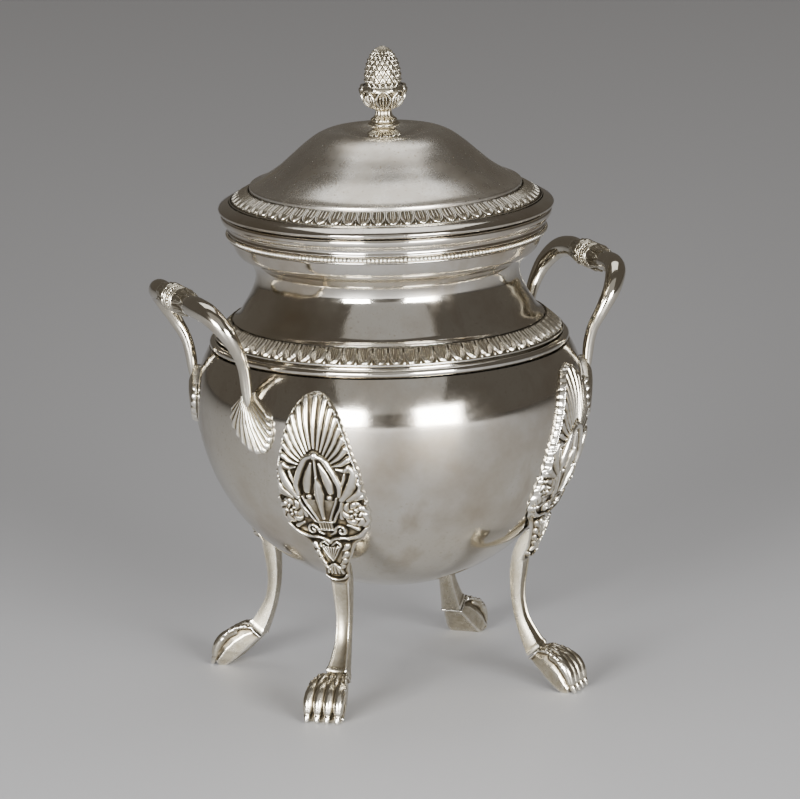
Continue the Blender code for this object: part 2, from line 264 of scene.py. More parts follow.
class Shader:
    """A node tree being put together around one Principled shader."""

    def __init__(self, name):
        self.material = bpy.data.materials.new(name)
        self.material.use_nodes = True
        self.nodes = self.material.node_tree.nodes
        self.links = self.material.node_tree.links
        self.surface = self.nodes["Principled BSDF"]
        self.place = self.nodes.new("ShaderNodeTexCoord").outputs["Object"]

    def node(self, kind, output, inputs, **settings):
        """Adds a node and returns one output; its inputs are constants or other nodes' outputs."""
        node = self.nodes.new("ShaderNode" + kind)
        for key, value in settings.items():
            setattr(node, key, value)
        for key, value in inputs.items():
            if isinstance(value, bpy.types.NodeSocket):
                self.links.new(value, node.inputs[key])
            else:
                node.inputs[key].default_value = value
        return node.outputs[output]

    def noise(self, scale, detail=4.0, roughness=0.55, stretch=(1, 1, 1), turn=(0, 0, 0)):
        """Noise from 0 to 1 whose lumps are about 1 / scale metres across."""
        place = self.node("Mapping", "Vector", {"Vector": self.place, "Scale": stretch, "Rotation": turn})
        return self.node("TexNoise", "Fac", {"Vector": place, "Scale": scale, "Detail": detail,
                                             "Roughness": roughness})

    def relief(self):
        return self.node("Attribute", "Fac", {}, attribute_name="relief")

    def ramp(self, value, stops):
        """Colours along a value; each stop is (position, colour)."""
        node = self.nodes.new("ShaderNodeValToRGB")
        elements = node.color_ramp.elements
        elements[0].position, elements[0].color = stops[0][0], (*stops[0][1], 1)
        elements[1].position, elements[1].color = stops[-1][0], (*stops[-1][1], 1)
        for position, colour in stops[1:-1]:
            elements.new(position).color = (*colour, 1)
        self.links.new(value, node.inputs["Fac"])
        return node.outputs["Color"]

    def range(self, value, low, high, to_low, to_high):
        return self.node("MapRange", "Result", {"Value": value, "From Min": low, "From Max": high,
                                                "To Min": to_low, "To Max": to_high})

    def math(self, operation, a, b):
        return self.node("Math", "Value", {0: a, 1: b}, operation=operation)

    def mix(self, share, a, b):
        """Colour a where share is 0, b where it is 1."""
        a, b = ((*colour, 1) if isinstance(colour, tuple) else colour for colour in (a, b))
        return self.node("Mix", "Result", {"Factor": share, "A": a, "B": b}, data_type="RGBA")

    def bump(self, height, strength, distance, below=None):
        inputs = {"Height": height, "Strength": strength, "Distance": distance}
        if below is not None:
            inputs["Normal"] = below
        return self.node("Bump", "Normal", inputs)

    def finish(self, colour, roughness, normal):
        self.surface.inputs["Metallic"].default_value = 1.0
        self.links.new(colour, self.surface.inputs["Base Color"])
        self.links.new(roughness, self.surface.inputs["Roughness"])
        self.links.new(normal, self.surface.inputs["Normal"])
        return self.material


SCRATCH_TURNS = ((0.4, 0.2, 0.0), (1.2, 0.9, 0.5), (2.2, 0.3, 1.9))


def scratches(shader):
    """Fine hairlines in three directions, 0 in a scratch and 1 elsewhere."""
    worn = None
    for turn in SCRATCH_TURNS:
        streak = shader.noise(1.0, 2.0, 0.5, stretch=(2600, 2600, 60), turn=turn)
        line = shader.range(streak, 0.24, 0.34, 0.0, 1.0)
        worn = line if worn is None else shader.math("MULTIPLY", worn, line)
    return worn


def polished_silver(name, sheen, speckle):
    """Silver sheet with brown tarnish clouds, specks and wiping marks.

    sheen is its roughness where it is clean, speckle how strongly the specks show.
    """
    shader = Shader(name)
    clouds = shader.noise(24, 6.0, 0.62)
    veil = shader.range(clouds, 0.46, 0.72, 0.0, 0.80)
    streaks = shader.noise(1.0, 4.0, 0.6, stretch=(70, 70, 16), turn=(0.5, 0.3, 0.0))
    veil = shader.math("MAXIMUM", veil, shader.range(streaks, 0.56, 0.72, 0.0, 0.55))
    specks = shader.noise(1100, 3.0, 0.6)
    spots = shader.range(specks, 0.60, 0.70, 0.0, speckle)
    stained = shader.math("MAXIMUM", veil, spots)
    tint = shader.noise(9, 2.0, 0.5)
    clean = shader.mix(shader.range(tint, 0.35, 0.65, 0.0, 1.0), (0.66, 0.635, 0.58), (0.60, 0.555, 0.455))
    colour = shader.mix(stained, clean, (0.36, 0.285, 0.19))
    lines = scratches(shader)
    smear = shader.noise(120, 5.0, 0.7)
    dull = shader.math("MULTIPLY", shader.range(smear, 0.35, 0.75, 0.0, 1.0), 0.07)
    roughness = shader.math("ADD", shader.range(stained, 0.0, 1.0, sheen, sheen + 0.16), dull)
    waves = shader.bump(shader.noise(55, 2.0, 0.5), 0.22, 0.0006)
    pitted = shader.bump(specks, 0.5 * speckle, 0.00004, below=waves)
    normal = shader.bump(lines, 0.05, 0.00004, below=pitted)
    return shader.finish(colour, roughness, normal)


def cast_silver():
    """Cast and chased silver: black oxide together with painted shade in the hollows, worn bright on the high
    points.
    """
    shader = Shader("cast_silver")
    grime = shader.range(shader.noise(420, 5.0, 0.65), 0.2, 0.8, -0.09, 0.09)
    level = shader.math("ADD", shader.relief(), grime)
    # Low relief values are darkened to near black: partly real oxide, partly painted shade in the recesses,
    # sunk grounds and gaps between beads.
    colour = shader.ramp(level, (
        (0.18, (0.022, 0.018, 0.012)),
        (0.36, (0.13, 0.105, 0.068)),
        (0.48, (0.40, 0.355, 0.265)),
        (0.60, (0.62, 0.575, 0.47)),
        (0.80, (0.84, 0.81, 0.73)),
    ))
    roughness = shader.range(level, 0.25, 0.65, 0.50, 0.18)
    pits = shader.bump(shader.noise(2400, 3.0, 0.6), 0.12, 0.00008)
    normal = shader.bump(shader.noise(300, 3.0, 0.5), 0.2, 0.0002, below=pits)
    return shader.finish(colour, roughness, normal)


def fastener_metal():
    """Turned steel-grey fastener metal with fine tool rings."""
    shader = Shader("fastener_metal")
    stain = shader.noise(500, 5.0, 0.6)
    colour = shader.ramp(stain, ((0.3, (0.30, 0.27, 0.22)), (0.7, (0.60, 0.59, 0.56))))
    roughness = shader.range(stain, 0.3, 0.7, 0.5, 0.3)
    rings = shader.noise(1.0, 2.0, 0.5, stretch=(40, 40, 5000))
    normal = shader.bump(rings, 0.2, 0.00005)
    return shader.finish(colour, roughness, normal)


POLISHED = polished_silver("polished_silver", 0.06, 0.45)
WORN = polished_silver("worn_silver", 0.22, 0.85)
CAST = cast_silver()
FASTENER = fastener_metal()


# ---------------------------------------------------------------- bowl: turned parts

BULB_RADIUS = 58.2
BULB_CENTRE = 88.0
BULB_WALL = 1.0
BULB_RISE = 15.0        # from the widest place to the foot of the shoulder
BULB_DRAW_IN = 4.45     # how much narrower it is there


def bulb_radius(z):
    """Outer radius of the bulb: a ball below its middle, a fuller curve above it."""
    z = np.asarray(z, float)
    ball = np.sqrt(np.maximum(BULB_RADIUS**2 - (z - BULB_CENTRE)**2, 0.0))
    rise = np.maximum(z - BULB_CENTRE, 0.0) / BULB_RISE
    return np.where(z <= BULB_CENTRE, ball, BULB_RADIUS - BULB_DRAW_IN * rise**1.9)


def bulb_mesh():
    turns = np.radians(np.linspace(-90, 0, 60))
    ball = np.stack([BULB_RADIUS * np.cos(turns), BULB_CENTRE + BULB_RADIUS * np.sin(turns)], axis=1)
    heights = np.linspace(BULB_CENTRE, BULB_CENTRE + BULB_RISE, 16)[1:]
    upper = np.stack([bulb_radius(heights), heights], axis=1)
    step = softened([(53.75, 103.0), (52.5, 102.9), (50.7, 103.7), (50.4, 105.9), (48.6, 107.8)],
                    0.5, closed=False)
    outside = np.vstack([ball, upper, step[1:]])
    rim = [(47.6, 107.4), (49.4, 105.5), (49.6, 103.3)]
    inner_heights = np.linspace(102.0, BULB_CENTRE, 14)
    inner_upper = np.stack([bulb_radius(inner_heights) - BULB_WALL, inner_heights], axis=1)
    inner_ball = [0, BULB_CENTRE] + (ball[::-1][1:] - [0, BULB_CENTRE]) * (1 - BULB_WALL / BULB_RADIUS)
    profile = np.vstack([outside, rim, inner_upper, inner_ball])
    profile[0, 0] = 0.0
    profile[-1, 0] = 0.0
    return turned_mesh("body_bulb_skin", profile, closed=False)


NECK_OUTSIDE = ((46.4, 135.6), (44.4, 131.4), (41.0, 128.9), (39.5, 126.2), (39.3, 124.0),
                (40.4, 120.2), (43.0, 115.4), (45.2, 112.2), (46.5, 111.25))
NECK_FOOT = ((45.7, 110.3), (48.3, 108.1))
NECK_INSIDE = ((47.6, 107.4), (44.9, 109.8), (44.4, 111.6), (41.9, 115.2), (39.4, 119.8), (38.3, 123.8),
               (38.5, 126.6), (40.3, 129.8), (43.6, 132.2), (45.4, 135.6))
MOUTH_PROFILE = ((48.7, 143.3), (49.3, 142.8), (49.2, 141.7), (48.6, 140.8), (47.5, 140.1), (47.1, 139.1),
                 (47.6, 138.2), (46.3, 137.75), (46.3, 136.3), (47.3, 136.2), (47.3, 135.9),
                 (43.8, 135.9), (43.8, 143.3))
SHOULDER_WIRE_PLACE = (52.35, 104.35)
SHOULDER_WIRE_RADIUS = 1.3
SHOULDER_WIRE_SIDES = 20

BEADS = 250
BEAD_RADIUS = 0.60
BEAD_WIRE = 0.16
BEAD_RING = 47.35
BEAD_HEIGHT = 137.0


def bead_band_mesh():
    """A ring of beads touching along a thin wire."""
    per_bead, sides = 12, 16
    columns = BEADS * per_bead
    pitch = TURN * BEAD_RING / BEADS
    along = ((np.arange(columns) % per_bead) / per_bead - 0.5) * pitch
    section = np.sqrt(np.maximum(BEAD_RADIUS**2 - along**2, BEAD_WIRE**2))
    around = (np.arange(columns) * TURN / columns)[None, :]
    turns = (np.arange(sides) * TURN / sides)[:, None]
    radius = BEAD_RING + section * np.cos(turns)
    height = BEAD_HEIGHT + section * np.sin(turns)
    points = np.stack([radius * np.cos(around), radius * np.sin(around), height], axis=-1)
    return with_relief(grid_mesh("bead_band_skin", points, sharp_angle=70), 10, 3.5)


# ---------------------------------------------------------------- relief shapes

def ridge(distance, half_width):
    """A rounded bar: 1 on its centre line, 0 from half_width outwards."""
    return np.sqrt(np.clip(1 - (distance / half_width)**2, 0, 1))


def highest(*heights):
    """The largest of several heights at each point."""
    result = heights[0]
    for height in heights[1:]:
        result = np.maximum(result, height)
    return result


def disc(x, y, cx, cy, radius):
    """A domed button."""
    return ridge(np.hypot(x - cx, y - cy), radius)


def stroke(x, y, points, widths):
    """A rounded bar along a smooth curve, its half width changing from point to point.

    Returns the height, 1 on the centre line of a bar, and the place along the curve, 0 to 1.
    """
    curve = smooth_curve(points, 6)
    half = np.interp(np.linspace(0, 1, len(curve)), np.linspace(0, 1, len(widths)), widths)
    best = np.full(x.shape, -1.0)
    place = np.zeros(x.shape)
    for i in range(len(curve) - 1):
        start, run = curve[i], curve[i + 1] - curve[i]
        t = np.clip(((x - start[0]) * run[0] + (y - start[1]) * run[1]) / np.dot(run, run), 0, 1)
        distance = np.hypot(x - start[0] - t * run[0], y - start[1] - t * run[1])
        width = half[i] + t * (half[i + 1] - half[i])
        closeness = 1 - (distance / width)**2
        nearer = closeness > best
        best = np.where(nearer, closeness, best)
        place = np.where(nearer, (i + t) / (len(curve) - 1), place)
    return np.sqrt(np.clip(best, 0, 1)), place


# ---------------------------------------------------------------- leaf bands

def leaf_band_mesh(name, leaves, upper, lower, back, depth, height_of):
    """A ring of repeated leaves on the sloping face between two (radius, height) edges.

    height_of(x, y, pitch, length) gives the relief: x from a leaf's middle, y down the slope.
    """
    rows, per_leaf = 52, 32
    run = np.array(lower) - upper
    length = np.linalg.norm(run)
    outward = np.array([-run[1], run[0]]) / length
    columns = leaves * per_leaf
    share = np.linspace(0, 1, rows)[:, None]
    phase = (np.arange(columns) % per_leaf) / per_leaf - 0.5
    mean_radius = upper[0] + run[0] * share
    pitch = TURN * mean_radius / leaves
    height = depth * height_of(phase * pitch, share * length * np.ones(columns), pitch, length)
    radius = upper[0] + run[0] * share + outward[0] * height
    level = upper[1] + run[1] * share + outward[1] * height
    angle = np.arange(columns) * TURN / columns
    face = np.stack([radius * np.cos(angle), radius * np.sin(angle), level], axis=-1)
    points = np.concatenate([face, turned_points(back, columns)])
    return with_relief(grid_mesh(name, points, sharp_angle=65), 8, 2.2, 40, 1.0)


def hanging_leaf(x, y, pitch, length):
    """Pointed leaves in double outline with ribs, and an upturned dart between each two."""
    side = np.abs(x)
    t = np.clip(y / (0.87 * length), 0, 1)
    half = 0.44 * pitch * (1 - t**2.4)**0.75 * (0.90 + 0.10 * smooth_step(t, 0.0, 0.35))
    edge = half - side
    above_tip = 1 - smooth_step(y, 0.87 * length, 0.90 * length)
    rim = ridge(edge - 0.14, 0.24)
    second = 0.75 * ridge(edge - 0.62, 0.17)
    centre = 0.8 * ridge(side, 0.2) * (t < 0.72)
    flank = 0.5 * ridge(side - 0.34 * half, 0.13) * (t < 0.6)
    body = 0.16 * smooth_step(edge, 0.0, 0.2)
    dart = 0.8 * ridge(edge + 0.42, 0.2) * smooth_step(y, 0.22 * length, 0.36 * length)
    gap = 0.5 * pitch - side
    stem = 0.7 * ridge(gap, 0.16) * smooth_step(y, 0.40 * length, 0.48 * length)
    pearl = 0.9 * ridge(np.hypot(gap, y - 0.83 * length), 0.34)
    border = 0.9 * ridge(y - 0.955 * length, 0.24)
    top = 0.8 * ridge(y, 0.3)
    return highest(highest(rim, second, centre, flank, body, dart, stem, pearl) * above_tip, border, top)


def round_leaf(x, y, pitch, length):
    """Rounder leaves in double outline with three ribs, and a pearl between each two tips."""
    side = np.abs(x)
    t = np.clip(y / (0.88 * length), 0, 1)
    half = 0.475 * pitch * np.clip(1 - np.clip((t - 0.35) / 0.65, 0, 1)**2.3, 0, 1)**0.6
    edge = half - side
    above_tip = 1 - smooth_step(y, 0.88 * length, 0.91 * length)
    rim = ridge(edge - 0.13, 0.23)
    second = 0.8 * ridge(edge - 0.58, 0.17)
    centre = 0.85 * ridge(side, 0.18) * (t < 0.74)
    flank = 0.7 * ridge(side - 0.30 * half, 0.15) * (t < 0.66)
    body = 0.16 * smooth_step(edge, 0.0, 0.2)
    gap = 0.5 * pitch - side
    dart = 0.7 * ridge(gap, 0.16) * smooth_step(y, 0.52 * length, 0.60 * length)
    pearl = 0.95 * ridge(np.hypot(gap, y - 0.84 * length), 0.36)
    border = 0.8 * smooth_step(y, 0.93 * length, 0.97 * length)
    top = 0.5 * ridge(y, 0.25)
    return highest(highest(rim, second, centre, flank, body, dart, pearl) * above_tip, border, top)


# How many leaves a band has, the upper and lower edges of its face and the two corners of its back
# (radius, height), and how far its leaves stand out.
SHOULDER_BAND = (67, (46.9, 110.85), (52.0, 106.4), ((51.4, 105.9), (46.6, 110.0)), 0.45)
LID_BAND = (64, (40.9, 149.9), (46.4, 146.75), ((46.4, 146.35), (40.9, 149.5)), 0.42)


# ---------------------------------------------------------------- lid: turned parts

DOME_TOP = ((1.3, 165.0), (6.0, 165.1), (10.0, 166.2), (13.5, 167.2), (16.5, 167.2), (20.0, 165.9),
            (24.0, 163.1), (28.0, 159.6), (32.0, 156.1), (35.5, 153.7), (38.3, 152.1), (39.6, 151.6))
DOME_EDGE = ((40.5, 151.4), (40.5, 150.2), (40.3, 149.5), (46.4, 146.0), (46.4, 145.0), (39.8, 148.7))
DOME_UNDER = ((39.0, 150.6), (37.4, 151.4), (34.7, 153.0), (31.2, 155.2), (27.3, 158.7), (23.3, 162.2),
              (19.5, 164.9), (16.3, 166.2), (13.7, 166.2), (10.2, 165.2), (6.1, 164.1), (1.3, 164.0))
RIM_PROFILE = ((46.7, 146.85), (48.3, 146.1), (49.5, 145.4), (50.0, 144.7), (49.75, 143.95), (49.0, 143.6),
               (46.7, 143.6))
BEZEL_PROFILE = ((42.4, 144.5), (46.3, 144.5), (46.3, 143.6), (43.3, 143.6), (43.3, 137.8), (42.4, 137.8))


def add_turned_parts():
    neck = np.vstack([smooth_curve(NECK_OUTSIDE), NECK_FOOT, smooth_curve(NECK_INSIDE, 5)])
    dome = np.vstack([smooth_curve(DOME_TOP), DOME_EDGE, smooth_curve(DOME_UNDER, 5)])
    turns = np.arange(SHOULDER_WIRE_SIDES) * TURN / SHOULDER_WIRE_SIDES
    wire = SHOULDER_WIRE_PLACE + SHOULDER_WIRE_RADIUS * np.stack([np.cos(turns), np.sin(turns)], axis=1)
    add_piece("bulb_sheet", bulb_mesh(), "body_bulb", "bowl", POLISHED)
    for name, node, body, material, profile in (
            ("neck_sheet", "neck", "bowl", POLISHED, softened(neck, 0.3)),
            ("mouth_ring", "mouth_moulding", "bowl", POLISHED, softened(MOUTH_PROFILE, 0.5, steps=5)),
            ("shoulder_ring", "shoulder_wire", "bowl", POLISHED, wire),
            ("dome_sheet", "lid_dome", "lid", WORN, softened(dome, 0.35)),
            ("rim_ring", "lid_rim_moulding", "lid", POLISHED, softened(RIM_PROFILE, 0.5, steps=4)),
            ("bezel_ring", "lid_bezel", "lid", POLISHED, softened(BEZEL_PROFILE, 0.3))):
        add_piece(name, turned_mesh(node + "_skin", profile), node, body, material)
    add_piece("pearl_ring", bead_band_mesh(), "bead_band", "bowl", CAST)
    shoulder = leaf_band_mesh("shoulder_leaf_band_skin", *SHOULDER_BAND, hanging_leaf)
    add_piece("shoulder_leaves", shoulder, "shoulder_leaf_band", "bowl", CAST)
    lid = leaf_band_mesh("lid_leaf_band_skin", *LID_BAND, round_leaf)
    add_piece("lid_leaves", lid, "lid_leaf_band", "lid", CAST)


# ---------------------------------------------------------------- handles

FAN_TOP = 97.2
FAN_NECK = 1.5          # half width of a fan where it leaves the arm
FAN_FLUTES = 13
FAN_MIDDLE = ((97.2, 22.2), (95.0, 22.3), (88.0, 23.2), (79.6, 25.4))       # height, degrees
FAN_RIM = ((0.0, 79.4), (3.2, 80.4), (6.2, 83.4), (8.1, 87.6), (7.7, 90.9), (6.6, 92.8))  # sideways, height


def on_bulb(sideways, z, lift, middle=0.0):
    """A point above the bulb, sideways from a meridian given in degrees."""
    radius = bulb_radius(z) + lift
    angle = np.radians(middle) + sideways / radius
    return np.stack([radius * np.cos(angle), radius * np.sin(angle), z * np.ones_like(angle)], axis=-1)


def fan_mesh(side):
    """A shell of flutes that spreads from the foot of a handle arm. side is -1 or +1."""
    half = smooth_curve(FAN_RIM, 12)
    rim = np.vstack([half[::-1] * [-1, 1], half[1:]])
    rim = resampled(rim, FAN_FLUTES * 14 + 1)
    share = np.linspace(-1, 1, len(rim))
    wave = np.cos(math.pi * FAN_FLUTES * (share + 1) / 2)
    lobe = np.sqrt(np.clip(1 - wave**2, 0, 1))
    centre = np.array([0.0, 92.0])
    outward = (rim - centre) / np.linalg.norm(rim - centre, axis=1)[:, None]
    rim = rim + outward * 0.32 * lobe[:, None]
    rows = np.linspace(0, 1, 80)[:, None]
    sideways = FAN_NECK * share + (rim[:, 0] - FAN_NECK * share) * rows**1.15
    z = FAN_TOP + (rim[:, 1] - FAN_TOP) * rows
    bow = np.sqrt(np.clip(1.03 - share**2, 0.02, 1))
    swell = (1.2 * (1 - rows)**2 + 0.2) * bow + 0.25
    flutes = 1.15 * lobe**0.8 * smooth_step(rows, 0.0, 0.3)
    roll_off = np.sqrt(np.clip(1 - np.clip((rows - 0.92) / 0.08, 0, 1)**2, 0.02, 1))
    lift = 0.25 + (swell + flutes) * roll_off
    middle = side * np.interp(z, [p[0] for p in FAN_MIDDLE[::-1]], [p[1] for p in FAN_MIDDLE[::-1]])
    front = on_bulb(sideways, z, lift, middle)
    back = on_bulb(sideways * 0.97, z, 0.1 * np.ones_like(z), middle)
    return with_relief(plate_mesh("handle_fan_skin", front, back, sharp_angle=75), 12, 1.9, 60, 0.4)


ARM_ROUTE = ((53.55, 22.9, 91.0), (54.3, 22.6, 94.5), (54.65, 22.4, 97.8), (55.0, 22.6, 101.0),
             (55.9, 23.4, 105.5), (58.4, 24.9, 111.0), (61.9, 24.6, 117.0), (65.0, 20.6, 121.4),
             (66.4, 15.4, 122.6), (66.6, 10.2, 122.6))
ARM_RADII = (0.5, 1.2, 1.6, 1.7, 1.75, 2.05, 2.65, 3.1, 3.2, 3.1)


def arm_mesh(side):
    """A round handle arm: it thickens towards the grip and dies away on the fan."""
    sides = 28
    route = np.array(ARM_ROUTE) * [1, side, 1]
    path = smooth_curve(np.column_stack([route, ARM_RADII]), 12)
    path, radii = path[:, :3], path[:, 3]
    tangent = np.gradient(path, axis=0)
    tangent /= np.linalg.norm(tangent, axis=1)[:, None]
    across = np.cross(tangent, [1.0, 0.0, 0.0])
    across /= np.linalg.norm(across, axis=1)[:, None]
    over = np.cross(across, tangent)
    turns = np.arange(sides) * TURN / sides
    ring = across[:, None] * np.cos(turns)[:, None] + over[:, None] * np.sin(turns)[:, None]
    points = path[:, None] + ring * radii[:, None, None]
    cap_low = np.repeat(path[:1, None], sides, axis=1)
    cap_high = np.repeat(path[-1:, None], sides, axis=1)
    return grid_mesh("handle_arm_skin", np.concatenate([cap_low, points, cap_high]), loop_rows=False)


GRIP_X = 66.6
GRIP_Z = 122.6
GRIP_REACH = 4.15       # no part of a grip stands farther than this from its middle line
GRIP_LEAVES = 8
GRIP_BEADS = 24
GRIP_HALF = ((3.35, 0.0), (3.35, 0.75), (3.35, 1.1), (3.95, 1.3), (4.12, 1.7), (3.95, 2.1), (3.5, 2.3),
             (3.9, 2.55), (4.08, 2.9), (3.9, 3.25), (3.3, 3.5), (3.3, 3.8), (3.65, 4.4), (3.75, 5.2),
             (3.6, 6.2), (3.4, 7.2), (3.25, 8.2), (3.2, 9.4), (3.1, 10.8))


def grip_mesh():
    """The foliate grip: beads round its middle, double rings, then leaves that clasp the arms."""
    columns = 320
    half = resampled(smooth_curve(GRIP_HALF, 5), 130)
    profile = np.vstack([half[::-1] * [1, -1], half[1:], [[0.0, 10.8]]])
    profile = np.vstack([[[0.0, -10.8]], profile])
    share = np.arange(columns) / columns
    along = np.abs(profile[:, 1, None])
    bead_place = ((share * GRIP_BEADS) % 1 - 0.5) * TURN * 3.4 / GRIP_BEADS
    beads = 0.72 * ridge(np.hypot(bead_place, along), 0.46)
    leaf = np.abs((share * GRIP_LEAVES) % 1 - 0.5) * 2
    reach = np.clip((along - 3.6) / 6.8, 0, 1)
    width = np.clip(1.0 - 0.1 * reach - 0.9 * reach**4, 0, 1)
    blade = np.sqrt(np.clip(1 - (leaf / np.maximum(width, 0.05))**2, 0, 1))
    vein = 0.12 * ridge(leaf, 0.22) * (along > 5.2)
    foliage = (0.52 - 0.2 * reach) * blade**0.7 + vein * (blade > 0)
    foliage = foliage * smooth_step(along, 3.55, 4.3) * (along < 10.5)
    points = chased_points(profile, columns, highest(beads, foliage))
    outside = np.hypot(points[..., 0], points[..., 1])
    limit = np.minimum(1.0, GRIP_REACH / np.maximum(outside, 1e-6))
    points[..., 0] *= limit
    points[..., 1] *= limit
    x, y, z = points[..., 0], points[..., 1], points[..., 2]
    laid = np.stack([GRIP_X + x, z, GRIP_Z + y], axis=-1)
    return with_relief(grid_mesh("handle_grip_skin", laid, loop_rows=False, sharp_angle=75), 10, 1.8, 40, 0.5)


HANDLE_TURNS = {"right": 0.0, "left": 180.0}
ARM_SIDES = {"front": -1.0, "rear": 1.0}


def add_handles():
    fans = {side: fan_mesh(side) for side in (-1.0, 1.0)}
    arms = {side: arm_mesh(side) for side in (-1.0, 1.0)}
    grip = grip_mesh()
    for name, turn in HANDLE_TURNS.items():
        for place, front_side in ARM_SIDES.items():
            side = front_side if turn == 0.0 else -front_side
            end = f"{name}_{place}"
            add_piece("fan_" + end, fans[side], "handle_fan_" + end, "bowl", CAST, turn)
            add_piece("arm_" + end, arms[side], "handle_arm_" + end, "bowl", POLISHED, turn)
        add_piece("grip_" + name, grip, "handle_grip_" + name, "bowl", CAST, turn)


# ---------------------------------------------------------------- legs

# Inner point, outer point (radius, height) and half width of the shank, from the top down.
SHANK_SECTIONS = (((43.5, 48.7), (46.4, 49.6), 2.8), ((40.7, 45.2), (44.6, 45.2), 2.8),
                  ((39.1, 41.5), (42.6, 41.3), 2.8), ((38.3, 37.6), (41.9, 37.0), 2.65),
                  ((38.0, 31.5), (41.0, 31.0), 2.3), ((38.3, 26.1), (40.9, 26.5), 2.1),
                  ((39.3, 20.8), (41.9, 21.6), 2.1), ((41.1, 15.2), (44.3, 17.0), 2.5),
                  ((43.4, 9.9), (47.0, 12.9), 3.1))
SHANK_EDGE = 0.28       # how far the edges of the front face stand up
SHANK_DISH = 0.42       # how deep the front face is hollowed


def shank_mesh():
    """The squared shank: a dished front face between two raised edges, and a lip at the ankle."""
    rows = 140
    table = np.array([[*inner, *outer, half] for inner, outer, half in SHANK_SECTIONS])
    route = resampled(smooth_curve(table, 14), rows)
    share = np.linspace(0, 1, rows)[:, None]
    inner, outer, half = route[:, None, 0:2], route[:, None, 2:4], route[:, 4, None]
    lip = ridge(share - 0.978, 0.02)
    half = half + 0.16 * lip
    forward = (outer - inner) / np.linalg.norm(outer - inner, axis=2)[..., None]
    u = np.linspace(-1, 1, 33)
    dish_depth = SHANK_DISH * smooth_step(share, 0.2, 0.85) + 0.08
    edge = ridge(np.abs(u) - 0.9, 0.16)
    rise = SHANK_EDGE * edge - dish_depth * (1 - u**2) * (1 - edge) + 0.24 * lip
    face = outer + forward * rise[..., None]
    round_back = 0.25 * (1 - np.abs(np.linspace(-1, 1, 13))**4)
    back = inner - forward * round_back[None, :, None]
    depth = np.linspace(0, 1, 13)[1:-1]
    side_places = outer + (inner - outer) * depth[None, :, None]
    swell = 0.14 * np.sin(math.pi * depth)
    one = np.ones((rows, 1))

    def placed(places, lateral):
        return np.stack([places[..., 0], lateral, places[..., 1]], axis=-1)

    front_row = placed(face, half * u)
    right_row = placed(side_places, half * one + swell)
    back_row = placed(back, half * np.linspace(1, -1, 13))
    left_row = placed(side_places[:, ::-1], -(half * one + swell[::-1]))
    loop = np.concatenate([front_row, right_row, back_row, left_row], axis=1)
    ends = [np.repeat(loop[k:k + 1].mean(axis=1, keepdims=True), loop.shape[1], axis=1) for k in (0, -1)]
    points = np.concatenate([ends[0], loop, ends[1]])
    return with_relief(grid_mesh("leg_shank_skin", points, loop_rows=False, sharp_angle=50), 10, 0.9)


# Inner point, outer point (radius, height) and half width of the paw, from the ankle to the toes.
PAW_SECTIONS = (((43.9, 9.2), (46.8, 12.0), 3.1), ((46.0, 7.2), (50.4, 11.8), 4.1),
                ((49.0, 4.4), (53.6, 10.2), 5.1), ((52.2, 1.6), (56.0, 7.7), 5.9),
                ((54.6, 0.0), (57.1, 4.8), 6.25), ((57.0, 0.0), (57.5, 2.4), 6.3))
TOE_OFFSETS = (-4.85, -1.6, 1.6, 4.85)
# Middle line of a toe (radius, height) with its thickness, and the same for its claw.
TOE_LINE = ((51.6, 10.5, 1.1), (53.8, 9.75, 1.5), (56.1, 7.55, 1.72), (57.35, 5.2, 1.7), (57.75, 3.6, 1.45))
CLAW_LINE = ((57.6, 2.9, 1.1), (58.45, 1.75, 1.05), (58.95, 0.75, 0.7))
RIB_OFFSETS = (-1.0, 1.0)
# A paw's ribs and edges for its +Y side: lines of (radius, sideways, height) and their thicknesses.
PAW_LINES = ((((46.6, 1.7, 12.4), (49.6, 1.95, 12.5), (52.4, 2.4, 11.5), (55.0, 2.95, 9.5),
               (57.0, 3.25, 6.8)), (0.62, 0.66, 0.62, 0.55, 0.45)),
             (((46.8, 3.1, 12.0), (50.2, 4.2, 11.7), (53.3, 5.3, 10.1), (55.4, 6.0, 7.9)),
              (0.40, 0.40, 0.42, 0.5)),
             (((46.9, 3.15, 12.2), (45.4, 3.3, 10.7), (43.9, 3.15, 9.3)), (0.36, 0.36, 0.36)))
PAW_VOXEL = 0.24


def add_lump(shell, centre, radii, tilt=0.0):
    """Adds an ellipsoid to a bmesh; tilt lowers its outer end, in degrees."""
    matrix = Matrix.Translation(centre) @ Matrix.Rotation(math.radians(tilt), 4, "Y")
    matrix = matrix @ Matrix.Diagonal((*radii, 1.0))
    bmesh.ops.create_icosphere(shell, subdivisions=3, radius=1.0, matrix=matrix)


def add_bar(shell, points, radii, spacing=0.28):
    """Adds a row of overlapping balls along a smooth line."""
    curve = smooth_curve(points, 10)
    count = int(np.linalg.norm(np.diff(curve, axis=0), axis=1).sum() / spacing)
    for k, place in enumerate(resampled(curve, count)):
        share = k / (count - 1)
        radius = float(np.interp(share, np.linspace(0, 1, len(radii)), radii))
        bmesh.ops.create_icosphere(shell, subdivisions=2, radius=radius,
                                   matrix=Matrix.Translation(place.tolist()))


